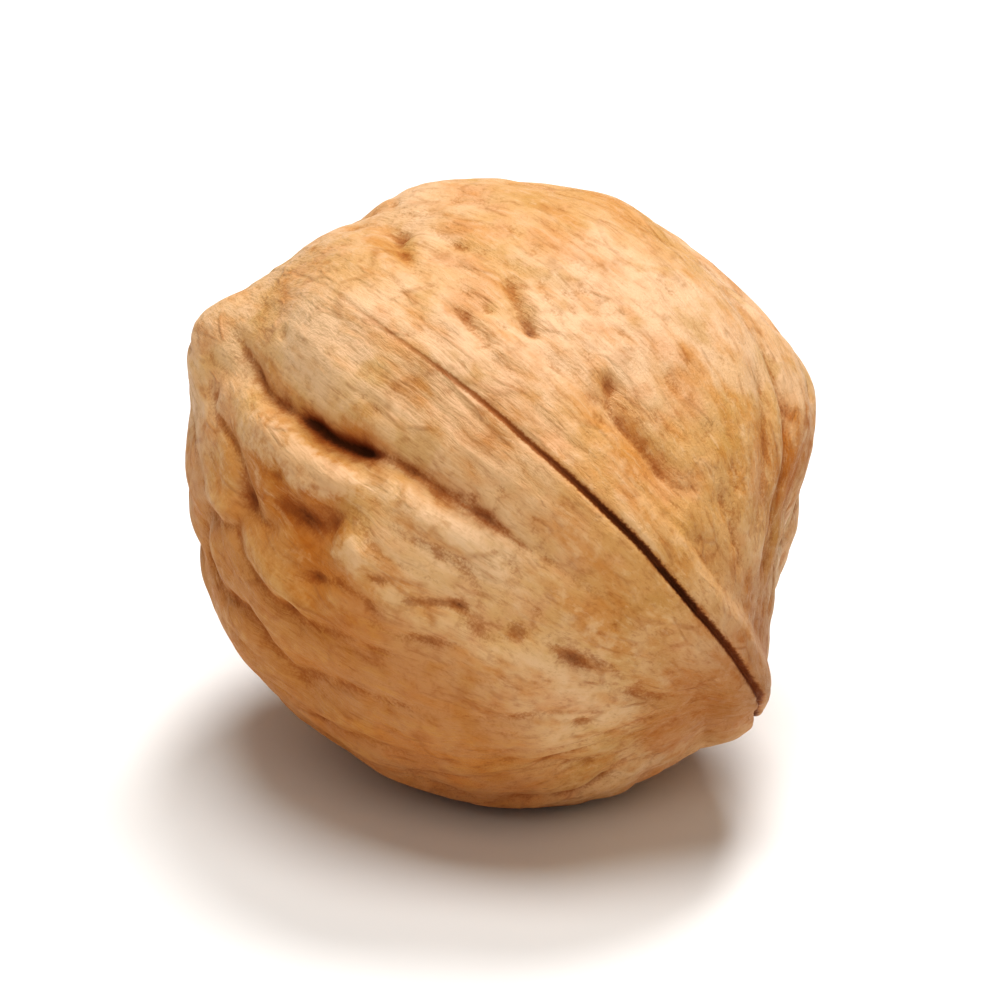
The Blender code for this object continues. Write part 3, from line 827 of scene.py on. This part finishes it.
    def marked(self, tint):
        """The tint with the net, the flecks and the browner tip of the apex."""
        tint = self.blend(self.calc("MULTIPLY", self.net, 0.3), tint, BROWN)
        tint = self.blend(self.calc("MULTIPLY", self.flecks, 0.5), tint, DARK)
        return self.blend(self.span(self.toward_apex, 0.86, 1.04, 0, 0.6), tint, BROWN)

    def bump_height(self):
        """Streaks, grit and mottling, with the flecks and the net sunk into them."""
        shares = (
            (self.fine_streaks, 1.2),
            (self.hair_streaks, 0.4),
            (self.grit, 0.4),
            (self.mottle, 0.8),
            (self.flecks, -0.5),
            (self.net, -0.4),
        )
        height = 0.0
        for pattern, share in shares:
            height = self.calc("MULTIPLY_ADD", pattern, share, height)
        return height


def shell_material():
    """Tan shell with pale painted highlight on its crests, brown painted shade in its furrows, dark painted
    shade in its cracks and pits, and streaks from end to end.
    """
    material = bpy.data.materials.new("walnut_shell")
    nodes = ShellNodes(material)
    tint = nodes.marked(nodes.deepened(nodes.streaked(nodes.ground_tint())))
    in_cracks = nodes.span(nodes.crack, 0, 1, 0, CRACK_DULLNESS)
    dull = nodes.calc("ADD", nodes.span(nodes.mottle, 0.3, 0.7, *DULLNESS), in_cracks)
    height = nodes.bump_height()
    bump = nodes.add("ShaderNodeBump", Height=height, Strength=BUMP_STRENGTH, Distance=BUMP_DISTANCE)
    nodes.feed(nodes.surface.inputs["Base Color"], tint)
    nodes.feed(nodes.surface.inputs["Roughness"], dull)
    nodes.feed(nodes.surface.inputs["Normal"], bump.outputs["Normal"])
    nodes.surface.inputs["Specular IOR Level"].default_value = GLOSS
    return material


def make_shell():
    shell = bpy.data.objects.new("walnut_shell", shell_mesh())
    shell.data.materials.append(shell_material())
    bpy.context.scene.collection.objects.link(shell)
    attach(shell, "root")
    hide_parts("walnut")


FLOOR_HALF = 3.0
FLOOR_GREY = 0.86
FLOOR_ROUGHNESS = 0.9
FLOOR_GLOSS = 0.1


def make_floor():
    bm = bmesh.new()
    bmesh.ops.create_grid(bm, x_segments=1, y_segments=1, size=FLOOR_HALF)
    mesh = bpy.data.meshes.new("floor")
    bm.to_mesh(mesh)
    bm.free()
    floor = bpy.data.objects.new("floor", mesh)
    material = bpy.data.materials.new("pale_floor")
    material.use_nodes = True
    surface = material.node_tree.nodes["Principled BSDF"]
    surface.inputs["Base Color"].default_value = (FLOOR_GREY, FLOOR_GREY, FLOOR_GREY, 1)
    surface.inputs["Roughness"].default_value = FLOOR_ROUGHNESS
    surface.inputs["Specular IOR Level"].default_value = FLOOR_GLOSS
    mesh.materials.append(material)
    bpy.context.scene.collection.objects.link(floor)


def aim(obj, azimuth, elevation, distance, target):
    """Puts a lamp or camera at that angle round the target, looking at it. Azimuth 0 looks along +Y."""
    a, e = math.radians(azimuth), math.radians(elevation)
    back = Vector((math.sin(a) * math.cos(e), -math.cos(a) * math.cos(e), math.sin(e)))
    obj.location = target + back * distance
    obj.rotation_mode = "QUATERNION"
    obj.rotation_quaternion = (-back).to_track_quat("-Z", "Y")
    bpy.context.scene.collection.objects.link(obj)


NUT_MIDDLE = Vector((0, 0, 17.6 * MM))
CAMERA_DISTANCE = 0.6
LENS = 350
LAMPS = (
    # name, azimuth, elevation, distance, size, watts, colour
    ("key", 155, 63, 0.9, 0.34, 6.5, (1.0, 0.99, 0.98)),
    ("above", 0, 84, 0.9, 0.5, 5.6, (1.0, 0.98, 0.95)),
    ("front", 0, 40, 1.0, 0.7, 2.3, (1.0, 0.91, 0.78)),
)
WORLD_LIGHT = 0.16
TONES = ((0.035, 0.018), (0.07, 0.044), (0.15, 0.118), (0.35, 0.33), (0.7, 0.685))  # light, as shown


def make_lamps():
    for name, azimuth, elevation, distance, size, watts, tint in LAMPS:
        light = bpy.data.lights.new(name, "AREA")
        light.shape = "DISK"
        light.size = size
        light.energy = watts
        light.color = tint
        aim(bpy.data.objects.new(name, light), azimuth, elevation, distance, NUT_MIDDLE)
    world = bpy.data.worlds.new("studio")
    bpy.context.scene.world = world
    world.use_nodes = True
    world.node_tree.nodes["Background"].inputs["Color"].default_value = (1, 1, 1, 1)
    world.node_tree.nodes["Background"].inputs["Strength"].default_value = WORLD_LIGHT


def make_camera():
    data = bpy.data.cameras.new("camera")
    data.lens = LENS
    data.clip_start = 0.01
    camera = bpy.data.objects.new("camera", data)
    aim(camera, 0, math.degrees(VIEW_ELEVATION), CAMERA_DISTANCE, NUT_MIDDLE)
    bpy.context.scene.camera = camera


def set_tones():
    """A camera's response: its shadows are deeper, and so its dark colours richer."""
    view = bpy.context.scene.view_settings
    view.view_transform = "Standard"
    view.use_curve_mapping = True
    curve = view.curve_mapping.curves[3]
    for light, shown in TONES:
        curve.points.new(light, shown)
    view.curve_mapping.update()


make_camera()
make_shell()
make_floor()
make_lamps()
set_tones()
